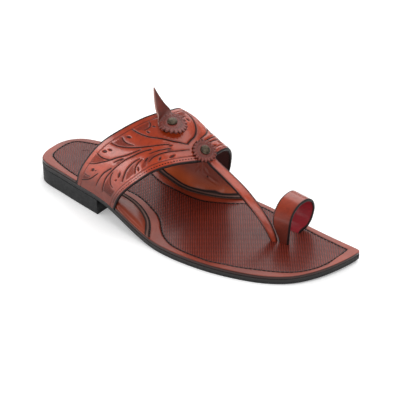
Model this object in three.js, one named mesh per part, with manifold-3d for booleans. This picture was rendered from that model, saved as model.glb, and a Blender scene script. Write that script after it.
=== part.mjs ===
// A right-foot Kolhapuri sandal: a stacked sole, a broad instep band, a thong and a loop for the big toe.
// Millimetres. +X points to the toe, +Y to the inner (big toe) side, +Z up. The origin is on the floor,
// under the middle of the sandal.
import * as THREE from 'three';
import { mergeVertices } from 'three/addons/utils/BufferGeometryUtils.js';
import Module from 'manifold-3d';

// Driving dimensions
const LENGTH = 280;
const BALL_WIDTH = 100;
const HEEL_LIFT = 14;
const HEEL_LENGTH = 77;
const BREAST_HOLLOW = 2.5;
const ARCH_END = 150;
const TOE_SPRING = 2.5;
const TOE_SPRING_START = 232;
const RUBBER = 4.2;
const LEATHER = 2.4;
const BAND_WALL = 2.6;
const STRIP_WALL = 2.2;
const EDGE_ROUND = 0.8;
const GAP = 0.3;

// Sole outline. along: from the back of the heel; lateral, medial: reach to each side of the centre line,
// as shares of half the ball width. The toe swings past the centre line, so lateral turns negative there.
const SOLE_SECTIONS = [
  { along: 0, lateral: 0.12, medial: 0.1 },
  { along: 1.2, lateral: 0.26, medial: 0.22 },
  { along: 5, lateral: 0.41, medial: 0.37 },
  { along: 13, lateral: 0.495, medial: 0.51 },
  { along: 30, lateral: 0.56, medial: 0.61 },
  { along: 55, lateral: 0.65, medial: 0.68 },
  { along: 85, lateral: 0.75, medial: 0.7 },
  { along: 115, lateral: 0.87, medial: 0.75 },
  { along: 140, lateral: 0.955, medial: 0.87 },
  { along: 157, lateral: 0.995, medial: 0.965 },
  { along: 172, lateral: 1, medial: 1 },
  { along: 196, lateral: 0.955, medial: 0.965 },
  { along: 220, lateral: 0.84, medial: 0.905 },
  { along: 240, lateral: 0.68, medial: 0.855 },
  { along: 256, lateral: 0.46, medial: 0.81 },
  { along: 267, lateral: 0.17, medial: 0.775 },
  { along: 274, lateral: -0.14, medial: 0.75 },
  { along: 278.6, lateral: -0.45, medial: 0.725 },
  { along: 280, lateral: -0.61, medial: 0.69 },
];
const SOLE_STATIONS = 72;

// Instep of the last. ridge: height of its top line, which lies RIDGE_ASIDE to the medial side.
const INSTEP_SECTIONS = [
  { along: 40, ridge: 84 },
  { along: 80, ridge: 87 },
  { along: 103, ridge: 86.8 },
  { along: 116, ridge: 85.2 },
  { along: 128, ridge: 82.2 },
  { along: 142, ridge: 72.5 },
  { along: 157, ridge: 61.8 },
  { along: 180, ridge: 46 },
];
const RIDGE_ASIDE = 15;
const LATERAL_FULLNESS = 2;
const MEDIAL_FULLNESS = 2.35;

// Cut of the instep band. across: 0 at the lateral foot of the band, 1 at the medial foot.
const BAND_CUT = [
  { across: 0, back: 52.5, front: 98.8 },
  { across: 0.05, back: 55, front: 103 },
  { across: 0.1, back: 60, front: 109.7 },
  { across: 0.2, back: 73, front: 126.3 },
  { across: 0.3, back: 89.7, front: 140.9 },
  { across: 0.4, back: 104.2, front: 154.3 },
  { across: 0.45, back: 110.4, front: 157.8 },
  { across: 0.5, back: 115.4, front: 158.7 },
  { across: 0.6, back: 116, front: 158.2 },
  { across: 0.7, back: 113, front: 156.4 },
  { across: 0.8, back: 108, front: 153.8 },
  { across: 0.9, back: 102, front: 150 },
  { across: 1, back: 97, front: 143 },
];
const BAND_STEPS = 60;
const BAND_COLUMNS = 8;

// Thong from under the band down to the slot between the toes. twist: turn of the strip's flat from level.
const THONG = [
  { along: 146, aside: 6, height: 69.4, width: 9.4, twist: 0 },
  { along: 152, aside: 6.4, height: 65.35, width: 9.2, twist: 0 },
  { along: 157, aside: 6.8, height: 61.75, width: 9, twist: 2 },
  { along: 161.5, aside: 7, height: 58, width: 8.6, twist: 6 },
  { along: 173, aside: 7.2, height: 51.6, width: 8.2, twist: 14 },
  { along: 186.5, aside: 7.8, height: 43.2, width: 8, twist: 26 },
  { along: 196.5, aside: 8.5, height: 34.8, width: 7.8, twist: 38 },
  { along: 204.2, aside: 9, height: 27.4, width: 7.4, twist: 48 },
  { along: 210.8, aside: 9.4, height: 19.7, width: 7, twist: 57 },
  { along: 215.2, aside: 9.7, height: 12.6, width: 6.2, twist: 63 },
  { along: 217.4, aside: 10, height: 7.6, width: 5.4, twist: 66 },
  { along: 217.9, aside: 10.1, height: 5.3, width: 5, twist: 66 },
];
const THONG_STEPS = 36;

// Loop round the big toe, from the shared slot up, over and down to its own slot.
const LOOP = [
  { aside: 12.3, height: 5.2, back: 221.6, front: 229.8 },
  { aside: 12, height: 8, back: 221.4, front: 229.9 },
  { aside: 11.9, height: 14.5, back: 219.2, front: 230 },
  { aside: 12.3, height: 21.5, back: 215.8, front: 230.1 },
  { aside: 13.6, height: 28.3, back: 215, front: 230.3 },
  { aside: 17.2, height: 33.8, back: 215, front: 230.5 },
  { aside: 23, height: 37.2, back: 215, front: 230.8 },
  { aside: 29.5, height: 38, back: 215, front: 231.1 },
  { aside: 36, height: 36.8, back: 214.8, front: 231.4 },
  { aside: 41.8, height: 33, back: 214.6, front: 231.6 },
  { aside: 44.7, height: 27, back: 214.3, front: 231.7 },
  { aside: 44.6, height: 20.5, back: 214, front: 231.4 },
  { aside: 42.3, height: 14.2, back: 213.7, front: 230.6 },
  { aside: 38.6, height: 9.9, back: 213.4, front: 229.4 },
  { aside: 34.6, height: 8.6, back: 213.2, front: 228.4 },
  { aside: 31.6, height: 7.4, back: 213, front: 227.9 },
  { aside: 30.4, height: 5.2, back: 213, front: 227.8 },
];
const LOOP_STEPS = 52;
const LOOP_FLARE = 0.05;
const LOOP_HEART = { aside: 28, height: 22 };

// Ears: padded leather at both sides of the waist. inner: distance of the inner edge from the centre line;
// pillow: swelling between its edges; wall: height to which it climbs the inside of the band.
const EAR_LATERAL = [
  { along: 62, inner: 29, pillow: 0, wall: 0.5 },
  { along: 66, inner: 25.5, pillow: 0.6, wall: 2 },
  { along: 78, inner: 22.6, pillow: 1.2, wall: 4 },
  { along: 93, inner: 21.6, pillow: 1.5, wall: 3 },
  { along: 105, inner: 21.2, pillow: 1.9, wall: 0.8 },
  { along: 113, inner: 22.7, pillow: 2, wall: 0 },
  { along: 120, inner: 25.5, pillow: 1.8, wall: 0 },
  { along: 127, inner: 30, pillow: 1.3, wall: 0 },
  { along: 132.5, inner: 36, pillow: 0.7, wall: 0 },
  { along: 137, inner: 42.4, pillow: 0.2, wall: 0 },
  { along: 139, inner: 45.4, pillow: 0, wall: 0 },
];
const EAR_MEDIAL = [
  { along: 84, inner: 29, pillow: 0, wall: 0.5 },
  { along: 89, inner: 24, pillow: 0.4, wall: 6 },
  { along: 98, inner: 21.2, pillow: 0.8, wall: 17 },
  { along: 107, inner: 20.6, pillow: 1, wall: 24 },
  { along: 116, inner: 20.6, pillow: 1.2, wall: 28.5 },
  { along: 124, inner: 22.4, pillow: 1.2, wall: 30 },
  { along: 132, inner: 26, pillow: 1.2, wall: 28.5 },
  { along: 140, inner: 30.1, pillow: 1.2, wall: 23 },
  { along: 149, inner: 34.6, pillow: 1, wall: 13 },
  { along: 156, inner: 38.5, pillow: 0.7, wall: 5.5 },
  { along: 161, inner: 42, pillow: 0.3, wall: 1.6 },
  { along: 165.5, inner: 46.6, pillow: 0, wall: 0 },
];
const EAR_EDGE = 1.3;
const EAR_RIM = 1.8;
const EAR_FLANGE = 4;
const EAR_STEPS = 24;
const EAR_SHARES = [0, 0.12, 0.28, 0.44, 0.6, 0.76, 0.9, 1];

// Rosettes on the crest of the band, their rivets, and the horn that curls up from the rear one.
// lift: how far the stiff leather of the disc stands off the band, forward and to the lateral side.
const ROSETTE_REAR = { across: 0.4215, along: 125.5, lift: 5.5 };
const ROSETTE_FRONT = { across: 0.449, along: 152.1, lift: 0 };
const LIFT_TURN = 38;
const LIFT_EASE = 0.5;
const ROSETTE_RADIUS = 10;
const ROSETTE_WALL = 2;
const ROSETTE_TEETH = 20;
const TOOTH_DEPTH = 1.1;
const RIVET_RADIUS = 4;
const RIVET_HEIGHT = 1.9;
const RIVET_SIDES = 28;
const HORN = [
  { along: 122.5, height: 86.4, half: 7, wall: 1.2 },
  { along: 118, height: 87.6, half: 7.4, wall: 1.6 },
  { along: 115.4, height: 89.8, half: 7, wall: 1.8 },
  { along: 112.4, height: 94, half: 5.4, wall: 1.8 },
  { along: 110.2, height: 99, half: 3.6, wall: 1.7 },
  { along: 108.5, height: 104, half: 1.9, wall: 1.5 },
  { along: 107.2, height: 109, half: 0.4, wall: 0.9 },
];
const HORN_ASIDE = 2.1;
const HORN_CUP = 0.16;
const HORN_STEPS = 20;

// Small helpers
const { lerp, smoothstep, clamp, degToRad } = THREE.MathUtils;
const place = (along, y, z) => new THREE.Vector3(along - LENGTH / 2, y, z);

// Reads a named column of a table as a smooth function of another column, or of the row number.
function column(rows, name, by) {
  const knots = rows.map((row, i) => (by ? row[by] : i));
  const values = rows.map((row) => row[name]);
  const last = rows.length - 1;
  const slopes = values.map((_, i) => {
    const low = Math.max(i - 1, 0);
    const high = Math.min(i + 1, last);
    return (values[high] - values[low]) / (knots[high] - knots[low]);
  });
  return (at) => {
    const t = clamp(at, knots[0], knots[last]);
    let i = 0;
    while (i < last - 1 && t > knots[i + 1]) i++;
    const span = knots[i + 1] - knots[i];
    const k = (t - knots[i]) / span;
    const ease = k * k * (3 - 2 * k);
    const lead = slopes[i] * (1 - k) - slopes[i + 1] * k;
    return lerp(values[i], values[i + 1], ease) + lead * span * k * (1 - k);
  };
}

function meshOf(positions, faces, material, name) {
  const geometry = new THREE.BufferGeometry();
  geometry.setAttribute('position', new THREE.Float32BufferAttribute(positions, 3));
  geometry.setIndex(faces);
  geometry.computeVertexNormals();
  const mesh = new THREE.Mesh(geometry, material);
  mesh.name = name;
  return mesh;
}

// Turns the faces of a closed skin so that they look outward.
function outward(points, faces) {
  let volume = 0;
  for (let i = 0; i < faces.length; i += 3) {
    const [a, b, c] = [points[faces[i]], points[faces[i + 1]], points[faces[i + 2]]];
    volume += a.dot(b.clone().cross(c));
  }
  return volume < 0 ? [...faces].reverse() : faces;
}

function closedMesh(points, faces, material, name) {
  const positions = points.flatMap((p) => [p.x, p.y, p.z]);
  return meshOf(positions, outward(points, faces), material, name);
}

// Side faces between rings of the same count.
function sideFaces(ringCount, count) {
  const faces = [];
  const at = (ring, i) => ring * count + (i % count);
  for (let r = 0; r + 1 < ringCount; r++) {
    for (let i = 0; i < count; i++) {
      faces.push(at(r, i), at(r, i + 1), at(r + 1, i + 1), at(r, i), at(r + 1, i + 1), at(r + 1, i));
    }
  }
  return faces;
}

// A solid through rings. Each ring runs out along one row and back along another of the same count, so
// that both ends are closed by strips.
function loftSolid(rings, material, name) {
  const count = rings[0].length;
  const faces = sideFaces(rings.length, count);
  const end = (rings.length - 1) * count;
  for (let i = 0; i + 1 < count / 2; i++) {
    const j = count - 1 - i;
    faces.push(i, j, j - 1, i, j - 1, i + 1);
    faces.push(end + i, end + j - 1, end + j, end + i, end + i + 1, end + j - 1);
  }
  return closedMesh(rings.flat(), faces, material, name);
}

// A round solid: rings between a point in the middle of its underside and one in the middle of its top.
function roundSolid(bottom, rings, top, material, name) {
  const count = rings[0].length;
  const points = [...rings.flat(), bottom, top];
  const faces = sideFaces(rings.length, count);
  const end = (rings.length - 1) * count;
  for (let i = 0; i < count; i++) {
    const next = (i + 1) % count;
    faces.push(rings.length * count, next, i);
    faces.push(rings.length * count + 1, end + i, end + next);
  }
  return closedMesh(points, faces, material, name);
}

// Joining and cutting
const wasm = await Module();
wasm.setup();

function solidOf(mesh) {
  const bare = mesh.geometry.clone();
  bare.deleteAttribute('normal');
  const merged = mergeVertices(bare, 1e-4);
  return new wasm.Manifold(
    new wasm.Mesh({
      numProp: 3,
      vertProperties: merged.attributes.position.array,
      triVerts: new Uint32Array(merged.index.array),
    }),
  );
}

function meshFromSolid(solid, material, name) {
  const made = solid.getMesh();
  return meshOf([...made.vertProperties], [...made.triVerts], material, name);
}

// Materials
const rubber = new THREE.MeshStandardMaterial({ color: 0x23262a, roughness: 0.65, metalness: 0 });
const footbedLeather = new THREE.MeshStandardMaterial({ color: 0x7a3226, roughness: 0.45, metalness: 0 });
const strapLeather = new THREE.MeshStandardMaterial({ color: 0xa0402a, roughness: 0.35, metalness: 0 });
const earLeather = new THREE.MeshStandardMaterial({ color: 0x8c3a2a, roughness: 0.3, metalness: 0 });
const trimLeather = new THREE.MeshStandardMaterial({ color: 0x6e2f28, roughness: 0.55, metalness: 0 });
const bronze = new THREE.MeshStandardMaterial({ color: 0x5f4f3a, roughness: 0.35, metalness: 0.9 });

// Outline and heights of the sole
const halfWidth = BALL_WIDTH / 2;
const outline = new THREE.CatmullRomCurve3(
  SOLE_SECTIONS.map((s) => new THREE.Vector3(s.along, s.lateral * halfWidth, s.medial * halfWidth)),
);
const stations = outline.getPoints(SOLE_STATIONS).map((p) => ({ along: p.x, lateral: p.y, medial: p.z }));
const lateralReach = column(stations, 'lateral', 'along');
const medialReach = column(stations, 'medial', 'along');

// Height of the outsole's underside: up on the heel, down the arch to the floor, and up again at the toe.
function soleLift(along) {
  const arch = HEEL_LIFT * (1 - smoothstep(along, HEEL_LENGTH - 2, ARCH_END));
  const toe = Math.max(along - TOE_SPRING_START, 0) / (LENGTH - TOE_SPRING_START);
  return arch + TOE_SPRING * toe * toe;
}
const rubberTop = (along) => soleLift(along) + RUBBER;
const footbedBottom = (along) => rubberTop(along) + GAP;
const footbedTop = (along) => footbedBottom(along) + LEATHER;

// One section of a sole layer. hollow sets its middle back, for the breast of the heel.
function soleRing(layer, { along, lateral, medial }, hollow = 0) {
  const left = -lateral + layer.inset;
  const right = medial - layer.inset;
  const round = Math.min(EDGE_ROUND, (right - left) / 5) / (right - left);
  const shares = [0, round, 0.5, 1 - round, 1];
  const row = (height, drop) =>
    shares.map((k, i) => {
      const edge = i === 0 || i === shares.length - 1 ? drop : 0;
      return place(along - hollow * 4 * k * (1 - k), lerp(left, right, k), height(along) + edge);
    });
  return [...row(layer.under, layer.roundUnder), ...row(layer.over, -layer.roundOver).reverse()];
}

function soleLayer(layer, material, name) {
  return loftSolid(stations.map((station) => soleRing(layer, station)), material, name);
}

function heelBlock() {
  const layer = { under: () => 0, over: () => HEEL_LIFT - GAP, inset: 0.3, roundUnder: EDGE_ROUND, roundOver: 0 };
  const breast = { along: HEEL_LENGTH, lateral: lateralReach(HEEL_LENGTH), medial: medialReach(HEEL_LENGTH) };
  const rings = stations.filter((s) => s.along < HEEL_LENGTH - 4).map((s) => soleRing(layer, s));
  return loftSolid([...rings, soleRing(layer, breast, BREAST_HOLLOW)], rubber, 'heel');
}

// The last over the instep: superellipse sections from one edge of the sole over to the other
const ridgeHeight = column(INSTEP_SECTIONS, 'ridge', 'along');
const bandBack = column(BAND_CUT, 'back', 'across');
const bandFront = column(BAND_CUT, 'front', 'across');

function lastPoint(across, along) {
  const lateral = across < 0.5;
  const power = 2 / (lateral ? LATERAL_FULLNESS : MEDIAL_FULLNESS);
  const out = Math.abs(Math.cos(Math.PI * across)) ** power;
  const up = Math.abs(Math.sin(Math.PI * across)) ** power;
  const foot = lateral ? BAND_WALL - lateralReach(along) : medialReach(along) - BAND_WALL;
  return place(along, lerp(RIDGE_ASIDE, foot, out), lerp(footbedBottom(along), ridgeHeight(along), up));
}

function lastTangents(across, along) {
  const step = 0.004;
  const low = Math.max(across - step, 0);
  const high = Math.min(across + step, 1);
  const round = lastPoint(high, along).sub(lastPoint(low, along)).divideScalar(high - low);
  const forward = lastPoint(across, along + 0.5).sub(lastPoint(across, along - 0.5));
  return { round, forward, normal: forward.clone().cross(round).normalize() };
}

function overLast(across, along, by) {
  return lastPoint(across, along).addScaledVector(lastTangents(across, along).normal, by);
}

// The foot of a strap carried on down, to cut right through the leather it passes.
const lowered = (ring) => ring.map((p) => p.clone().setZ(p.z - LEATHER));

// The band, or with a margin the room it needs in the pieces round it. The other straps work the same way.
function instepBand(margin) {
  const rings = [];
  for (let i = 0; i <= BAND_STEPS; i++) {
    const across = i / BAND_STEPS;
    const inner = [];
    const outer = [];
    for (let j = 0; j <= BAND_COLUMNS; j++) {
      const along = lerp(bandBack(across) - margin, bandFront(across) + margin, j / BAND_COLUMNS);
      inner.push(overLast(across, along, -margin));
      outer.push(overLast(across, along, BAND_WALL + 4 * margin));
    }
    rings.push([...outer, ...inner.reverse()]);
  }
  if (margin) {
    rings.unshift(lowered(rings[0]));
    rings.push(lowered(rings[rings.length - 1]));
  }
  return loftSolid(rings, strapLeather, 'band');
}

function thong(margin) {
  const read = (name) => column(THONG, name);
  const [along, aside, height, width, twist] = ['along', 'aside', 'height', 'width', 'twist'].map(read);
  const middleAt = (at) => place(along(at), aside(at), height(at));
  const rings = [];
  for (let i = 0; i <= THONG_STEPS; i++) {
    const at = ((THONG.length - 1) * i) / THONG_STEPS;
    const ahead = middleAt(at + 0.05).sub(middleAt(at - 0.05)).normalize();
    const level = new THREE.Vector3(0, 0, 1).cross(ahead).normalize();
    const side = level.applyAxisAngle(ahead, degToRad(twist(at)));
    const normal = ahead.clone().cross(side);
    const corner = (across, over) =>
      middleAt(at)
        .addScaledVector(side, across * (width(at) / 2 + margin))
        .addScaledVector(normal, over * (STRIP_WALL / 2 + margin));
    rings.push([corner(-1, 1), corner(1, 1), corner(1, -1), corner(-1, -1)]);
  }
  if (margin) rings.push(lowered(rings[rings.length - 1]));
  return loftSolid(rings, strapLeather, 'thong');
}

function toeLoop(margin) {
  const read = (name) => column(LOOP, name);
  const [aside, height, back, front] = ['aside', 'height', 'back', 'front'].map(read);
  const half = STRIP_WALL / 2 + margin;
  const rings = [];
  for (let i = 0; i <= LOOP_STEPS; i++) {
    const at = ((LOOP.length - 1) * i) / LOOP_STEPS;
    const ahead = new THREE.Vector2(aside(at + 0.05) - aside(at - 0.05), height(at + 0.05) - height(at - 0.05));
    ahead.normalize();
    const flare = LOOP_FLARE * smoothstep(height(at), 9, 20);
    const corner = (forward, over) => {
      const spread = 1 - flare * forward;
      const y = lerp(LOOP_HEART.aside, aside(at), spread) - over * half * ahead.y;
      const z = lerp(LOOP_HEART.height, height(at), spread) + over * half * ahead.x;
      const x = forward < 0 ? back(at) - margin : front(at) + margin;
      return place(x, y, z);
    };
    rings.push([corner(-1, 1), corner(1, 1), corner(1, -1), corner(-1, -1)]);
  }
  if (margin) {
    rings.unshift(lowered(rings[0]));
    rings.push(lowered(rings[rings.length - 1]));
  }
  return loftSolid(rings, strapLeather, 'toe_loop');
}

// A padded ear: a flat flange along its inner edge on the footbed, then a sweep out to the sole's edge, up
// along the inside of the band.
function ear(rows, sign, reach, bandEnd) {
  const [inner, pillow, wall] = ['inner', 'pillow', 'wall'].map((name) => column(rows, name, 'along'));
  const rings = [];
  for (let i = 0; i <= EAR_STEPS; i++) {
    const along = lerp(rows[0].along, rows[rows.length - 1].along, i / EAR_STEPS);
    const start = inner(along);
    const clear = lerp(BAND_WALL - 0.5, 0.6, smoothstep(along, bandEnd - 2, bandEnd + 5));
    const end = Math.max(reach(along) - clear, start + 1);
    const flange = Math.min(EAR_FLANGE, (end - start) / 3);
    const rim = Math.min(EAR_RIM, (end - start) / 4);
    const seat = footbedTop(along) + GAP;
    const face = [place(along, sign * start, seat + EAR_EDGE)];
    const back = [place(along, sign * start, seat)];
    for (const k of EAR_SHARES) {
      const turn = (Math.PI / 2) * k;
      const swell = pillow(along) * Math.sin(2 * turn);
      const y = lerp(start + flange, end - rim, Math.sin(turn));
      face.push(place(along, sign * y, seat + EAR_EDGE + swell + wall(along) * (1 - Math.cos(turn))));
      back.push(place(along, sign * y, seat));
    }
    face.push(place(along, sign * end, seat + EAR_EDGE * 0.7 + wall(along)));
    back.push(place(along, sign * end, seat));
    rings.push([...face, ...back.reverse()]);
  }
  return loftSolid(rings, earLeather, 'ear');
}

// A point near a spot on the band, forward and medial of it along the leather, and raised above it.
function onBand(spot, forward, medial, by) {
  const t = lastTangents(spot.across, spot.along);
  const ahead = t.forward.clone().normalize();
  const sideways = t.normal.clone().cross(ahead);
  const turn = medial / Math.abs(t.round.dot(sideways));
  const along = (forward - turn * t.round.dot(ahead)) / t.forward.length();
  return overLast(spot.across + turn, spot.along + along, BAND_WALL + by);
}

// How far the disc stands off the band at a place on it.
function standOff(spot, forward, medial) {
  const turn = degToRad(LIFT_TURN);
  const lean = (forward * Math.cos(turn) - medial * Math.sin(turn)) / ROSETTE_RADIUS;
  return (spot.lift * (lean + Math.hypot(lean, LIFT_EASE))) / 2;
}

function onDisc(spot, forward, medial, by) {
  return onBand(spot, forward, medial, standOff(spot, forward, medial) + by);
}

function rosette(spot, name) {
  const count = 2 * ROSETTE_TEETH;
  const ring = (share, by) =>
    Array.from({ length: count }, (_, i) => {
      const radius = share * (ROSETTE_RADIUS - (share === 1 ? TOOTH_DEPTH * (i % 2) : TOOTH_DEPTH));
      const angle = (2 * Math.PI * i) / count;
      return onDisc(spot, radius * Math.cos(angle), radius * Math.sin(angle), by);
    });
  const under = GAP;
  const over = GAP + ROSETTE_WALL;
  const rings = [ring(0.5, under), ring(1, under), ring(1, over - 0.4), ring(0.93, over), ring(0.5, over)];
  return roundSolid(onDisc(spot, 0, 0, under), rings, onDisc(spot, 0, 0, over), trimLeather, name);
}

function rivet(spot, name) {
  const foot = onDisc(spot, 0, 0, 2 * GAP + ROSETTE_WALL);
  const ahead = onDisc(spot, 1, 0, 0).sub(onDisc(spot, -1, 0, 0));
  const normal = ahead.cross(onDisc(spot, 0, 1, 0).sub(onDisc(spot, 0, -1, 0))).normalize();
  const lean = new THREE.Quaternion().setFromUnitVectors(new THREE.Vector3(0, 0, 1), normal);
  const at = (radius, angle, rise) =>
    new THREE.Vector3(radius * Math.cos(angle), radius * Math.sin(angle), rise).applyQuaternion(lean).add(foot);
  const profile = [
    { radius: 1, rise: 0 },
    { radius: 1, rise: 0.3 },
    { radius: 0.92, rise: 0.62 },
    { radius: 0.72, rise: 0.84 },
    { radius: 0.4, rise: 0.96 },
  ];
  const rings = profile.map(({ radius, rise }) =>
    Array.from({ length: RIVET_SIDES }, (_, i) => {
      return at(radius * RIVET_RADIUS, (2 * Math.PI * i) / RIVET_SIDES, rise * RIVET_HEIGHT);
    }),
  );
  return roundSolid(at(0, 0, 0), rings, at(0, 0, RIVET_HEIGHT), bronze, name);
}

function horn() {
  const read = (name) => column(HORN, name);
  const [along, height, half, wall] = ['along', 'height', 'half', 'wall'].map(read);
  const middleAt = (at) => place(along(at), HORN_ASIDE, height(at));
  const rings = [];
  for (let i = 0; i <= HORN_STEPS; i++) {
    const at = ((HORN.length - 1) * i) / HORN_STEPS;
    const rise = middleAt(at + 0.05).sub(middleAt(at - 0.05)).normalize();
    const face = new THREE.Vector3(0, 1, 0).cross(rise).normalize();
    const free = smoothstep(at, 0.6, 2);
    const row = (k) =>
      [-1, -0.5, 0, 0.5, 1].map((s) => {
        const over = (k * wall(at)) / 2;
        const back = along(at) - ROSETTE_REAR.along;
        const root = onDisc(ROSETTE_REAR, back, s * half(at), GAP + ROSETTE_WALL / 2 + over);
        const risen = middleAt(at).addScaledVector(face, HORN_CUP * half(at) * s * s + over);
        risen.y += s * half(at);
        return root.lerp(risen, free);
      });
    rings.push([...row(1), ...row(-1).reverse()]);
  }
  return loftSolid(rings, trimLeather, 'horn');
}

// Assembly
const bandRoom = solidOf(instepBand(GAP));
const thongRoom = solidOf(thong(GAP));
const loopRoom = solidOf(toeLoop(GAP));

const outsole = soleLayer(
  { under: soleLift, over: rubberTop, inset: 0, roundUnder: EDGE_ROUND, roundOver: 0 },
  rubber,
  'outsole',
);
const footbedSheet = soleLayer(
  { under: footbedBottom, over: footbedTop, inset: 0.3, roundUnder: 0, roundOver: EDGE_ROUND },
  footbedLeather,
  'footbed',
);
const footbed = solidOf(footbedSheet).subtract(bandRoom).subtract(thongRoom).subtract(loopRoom);
const upper = solidOf(instepBand(0)).add(solidOf(thong(0)));
const lateralFoot = BAND_CUT[0].front;
const medialFoot = BAND_CUT[BAND_CUT.length - 1].front;
const earLateral = solidOf(ear(EAR_LATERAL, -1, lateralReach, lateralFoot)).subtract(bandRoom);
const earMedial = solidOf(ear(EAR_MEDIAL, 1, medialReach, medialFoot)).subtract(bandRoom);
const rosetteHorn = solidOf(rosette(ROSETTE_REAR, 'disc')).add(solidOf(horn()));

const sandal = new THREE.Group();
sandal.add(heelBlock());
sandal.add(outsole);
sandal.add(meshFromSolid(footbed, footbedLeather, 'footbed'));
sandal.add(meshFromSolid(earLateral, earLeather, 'ear_lateral'));
sandal.add(meshFromSolid(earMedial, earLeather, 'ear_medial'));
sandal.add(meshFromSolid(upper, strapLeather, 'upper'));
sandal.add(toeLoop(0));
sandal.add(meshFromSolid(rosetteHorn, trimLeather, 'rosette_horn'));
sandal.add(rosette(ROSETTE_FRONT, 'rosette_front'));
sandal.add(rivet(ROSETTE_REAR, 'rivet_rear'));
sandal.add(rivet(ROSETTE_FRONT, 'rivet_front'));

export default sandal;
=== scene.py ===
# Looks of a right-foot Kolhapuri sandal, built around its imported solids.
# Sizes are millimetres until a mesh is made. +X points to the toe, +Y to the inner side, +Z up.
import math

import bpy
import numpy as np
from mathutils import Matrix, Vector

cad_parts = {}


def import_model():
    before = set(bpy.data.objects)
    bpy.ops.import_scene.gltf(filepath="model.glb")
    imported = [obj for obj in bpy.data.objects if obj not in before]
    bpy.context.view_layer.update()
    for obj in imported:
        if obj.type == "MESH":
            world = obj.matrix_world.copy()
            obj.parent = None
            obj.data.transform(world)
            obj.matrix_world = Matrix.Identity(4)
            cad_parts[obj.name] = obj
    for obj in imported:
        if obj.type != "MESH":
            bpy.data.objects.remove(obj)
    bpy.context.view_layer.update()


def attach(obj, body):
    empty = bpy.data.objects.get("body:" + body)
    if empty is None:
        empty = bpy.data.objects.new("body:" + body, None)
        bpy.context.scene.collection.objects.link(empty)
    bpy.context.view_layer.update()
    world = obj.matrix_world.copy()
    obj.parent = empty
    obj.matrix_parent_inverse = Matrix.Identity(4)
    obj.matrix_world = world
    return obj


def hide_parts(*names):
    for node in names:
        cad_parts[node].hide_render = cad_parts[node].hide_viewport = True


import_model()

MM = 0.001

# Driving dimensions, as in the solids
LENGTH = 280
BALL_WIDTH = 100
HEEL_LIFT = 14
HEEL_LENGTH = 77
BREAST_HOLLOW = 2.5
ARCH_END = 150
TOE_SPRING = 2.5
TOE_SPRING_START = 232
RUBBER = 4.2
LEATHER = 2.4
BAND_WALL = 2.6
STRIP_WALL = 2.2
EDGE_ROUND = 0.8
GAP = 0.3


def table(names, *rows):
    """Rows of numbers as named columns."""
    return dict(zip(names.split(), np.array(rows, float).T))


# Sole outline: reach to each side of the centre line as shares of half the ball width
SOLE = table(
    "along lateral medial",
    (0, 0.12, 0.1), (1.2, 0.26, 0.22), (5, 0.41, 0.37), (13, 0.495, 0.51), (30, 0.56, 0.61),
    (55, 0.65, 0.68), (85, 0.75, 0.7), (115, 0.87, 0.75), (140, 0.955, 0.87), (157, 0.995, 0.965),
    (172, 1, 1), (196, 0.955, 0.965), (220, 0.84, 0.905), (240, 0.68, 0.855), (256, 0.46, 0.81),
    (267, 0.17, 0.775), (274, -0.14, 0.75), (278.6, -0.45, 0.725), (280, -0.61, 0.69),
)
SOLE_STATIONS = 72

# Instep of the last
INSTEP = table(
    "along ridge",
    (40, 84), (80, 87), (103, 86.8), (116, 85.2), (128, 82.2), (142, 72.5), (157, 61.8), (180, 46),
)
RIDGE_ASIDE = 15
LATERAL_FULLNESS = 2
MEDIAL_FULLNESS = 2.35

# Cut of the instep band from its lateral foot, across 0, to its medial foot, across 1
BAND_CUT = table(
    "across back front",
    (0, 52.5, 98.8), (0.05, 55, 103), (0.1, 60, 109.7), (0.2, 73, 126.3), (0.3, 89.7, 140.9),
    (0.4, 104.2, 154.3), (0.45, 110.4, 157.8), (0.5, 115.4, 158.7), (0.6, 116, 158.2), (0.7, 113, 156.4),
    (0.8, 108, 153.8), (0.9, 102, 150), (1, 97, 143),
)

# Thong from under the band down to the slot between the toes
THONG = table(
    "along aside height width twist",
    (146, 6, 69.4, 9.4, 0), (152, 6.4, 65.35, 9.2, 0), (157, 6.8, 61.75, 9, 2), (161.5, 7, 58, 8.6, 6),
    (173, 7.2, 51.6, 8.2, 14), (186.5, 7.8, 43.2, 8, 26), (196.5, 8.5, 34.8, 7.8, 38),
    (204.2, 9, 27.4, 7.4, 48), (210.8, 9.4, 19.7, 7, 57), (215.2, 9.7, 12.6, 6.2, 63),
    (217.4, 10, 7.6, 5.4, 66), (217.9, 10.1, 5.3, 5, 66),
)

# Loop round the big toe
LOOP = table(
    "aside height back front",
    (12.3, 5.2, 221.6, 229.8), (12, 8, 221.4, 229.9), (11.9, 14.5, 219.2, 230), (12.3, 21.5, 215.8, 230.1),
    (13.6, 28.3, 215, 230.3), (17.2, 33.8, 215, 230.5), (23, 37.2, 215, 230.8), (29.5, 38, 215, 231.1),
    (36, 36.8, 214.8, 231.4), (41.8, 33, 214.6, 231.6), (44.7, 27, 214.3, 231.7), (44.6, 20.5, 214, 231.4),
    (42.3, 14.2, 213.7, 230.6), (38.6, 9.9, 213.4, 229.4), (34.6, 8.6, 213.2, 228.4),
    (31.6, 7.4, 213, 227.9), (30.4, 5.2, 213, 227.8),
)
LOOP_FLARE = 0.05
LOOP_HEART = (28, 22)

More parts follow.
